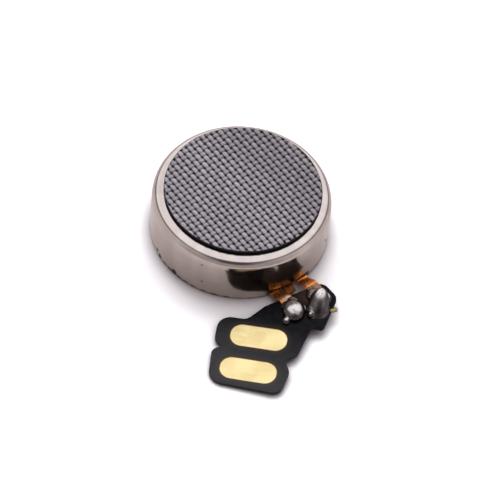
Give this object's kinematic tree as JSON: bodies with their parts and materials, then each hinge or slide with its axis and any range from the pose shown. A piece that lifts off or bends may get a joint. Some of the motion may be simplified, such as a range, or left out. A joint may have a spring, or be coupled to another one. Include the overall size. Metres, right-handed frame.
{
  "type": "vibration coin motor",
  "caption": "Flat round vibration motor: nickel-plated can with a woven pad on top, an eccentric rotor inside, and a black soldered tail with gold contact pads.",
  "frame": {"origin": "centre of the can's flat bottom face", "axes": "+Z out of the woven pad, along the motor's shaft; the leads leave 51 degrees from +X towards -Y"},
  "size_m": [0.0107, 0.0164, 0.0033],
  "materials": {
    "nickel_plated_steel": "nickel-plated, satin",
    "bright_steel": "ground",
    "black_woven_fabric": "woven",
    "dark_adhesive": "tacky film",
    "amber_film": "gloss",
    "copper_lead": "bare copper",
    "enamelled_winding": "enamelled copper",
    "plated_magnet": "plated",
    "cogging_steel": "satin",
    "brush_alloy": "bright",
    "sintered_bronze": "sintered",
    "washer_plastic": "matte",
    "board_laminate": "matte",
    "tungsten_alloy": "sintered",
    "rotor_resin": "matte",
    "gold_plating": "plated",
    "black_cover_film": "semi-matte",
    "board_core": "matte",
    "solder": "bright, cooled"
  },
  "bodies": {
    "motor_body": {"case_can": "nickel_plated_steel", "base_bracket": "nickel_plated_steel", "shaft": "bright_steel", "lower_thrust_washer": "washer_plastic", "upper_thrust_washer": "washer_plastic", "pad_adhesive": "dark_adhesive", "top_fabric_pad": "black_woven_fabric", "internal_fpc": "amber_film", "cogging_plate": "cogging_steel", "ring_magnet": "plated_magnet", "brush_positive": "brush_alloy", "brush_negative": "brush_alloy", "lead_leg_a": "copper_lead", "lead_leg_b": "copper_lead"},
    "rotor": {"rotor_mould": "rotor_resin", "eccentric_weight": "tungsten_alloy", "coil_1": "enamelled_winding", "coil_2": "enamelled_winding", "commutator_board": "board_laminate", "bearing_bush": "sintered_bronze", "commutator_segment_1": "gold_plating", "commutator_segment_2": "gold_plating", "commutator_segment_3": "gold_plating", "commutator_segment_4": "gold_plating", "commutator_segment_5": "gold_plating", "commutator_segment_6": "gold_plating"},
    "contact_tail": {"terminal_fpc_base": "board_core", "terminal_fpc_coverlay": "black_cover_film", "contact_pad_a": "gold_plating", "contact_pad_b": "gold_plating", "solder_land_a": "copper_lead", "solder_land_b": "copper_lead", "solder_joint_a": "solder", "solder_joint_b": "solder"}
  },
  "joints": [
    {"name": "rotor_spin", "type": "hinge", "parent": "motor_body", "child": "rotor", "pos_m": [0, 0, 0.0018], "axis": [0, 0, 1], "continuous": true},
    {"name": "tail_flex", "type": "hinge", "parent": "motor_body", "child": "contact_tail", "pos_m": [0.00346, -0.00427, 0.00042], "axis": [-0.7771, -0.6293, 0], "range_deg": [-60, 60], "stiffness_Nm_per_rad": 0.0005, "deforming": ["lead_leg_a", "lead_leg_b"]}
  ]
}
